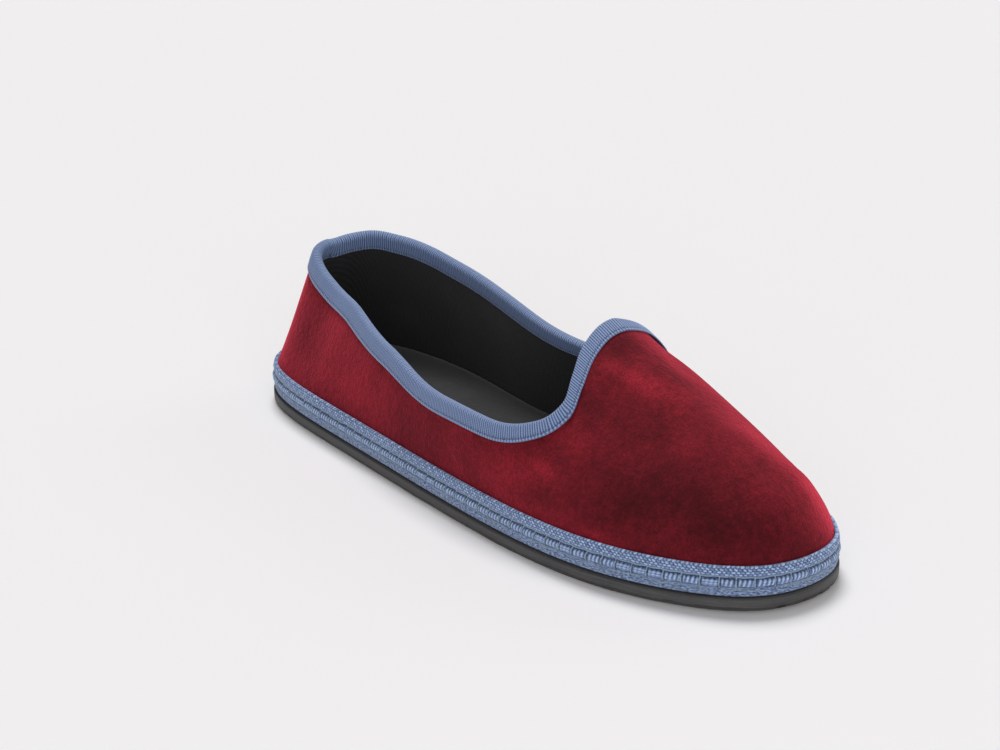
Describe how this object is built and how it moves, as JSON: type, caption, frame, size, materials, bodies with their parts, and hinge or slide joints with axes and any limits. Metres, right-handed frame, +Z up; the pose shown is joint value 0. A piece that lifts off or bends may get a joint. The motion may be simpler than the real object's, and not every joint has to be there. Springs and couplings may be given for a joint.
{
  "type": "furlane slipper",
  "caption": "Low slip-on slipper for the right foot: hollow velvet upper with a peaked throat and bound collar, ribbon-edged textile pad, insole and a flat rubber outsole.",
  "frame": {"origin": "on the floor, under the middle of the shoe's length and width", "axes": "+X towards the toe, +Y towards the big toe's side, +Z up"},
  "size_m": [0.2582, 0.0876, 0.0673],
  "materials": {
    "sole_rubber": "matt recycled tyre rubber",
    "pad_textile": "layered cloth, sewn",
    "lining_cloth": "plain black woven cloth",
    "edge_ribbon_cloth": "woven check band with sewn boxes",
    "velvet": "deep red cut-pile velvet with a bright sheen",
    "binding_grosgrain": "cross-ribbed grosgrain",
    "stitch_thread": "waxed off-white sole thread"
  },
  "bodies": {
    "root": {"outsole": "sole_rubber", "midsole": "pad_textile", "insole": "lining_cloth", "edge_ribbon": "edge_ribbon_cloth", "upper": "velvet", "collar_binding": "binding_grosgrain"}
  },
  "joints": []
}
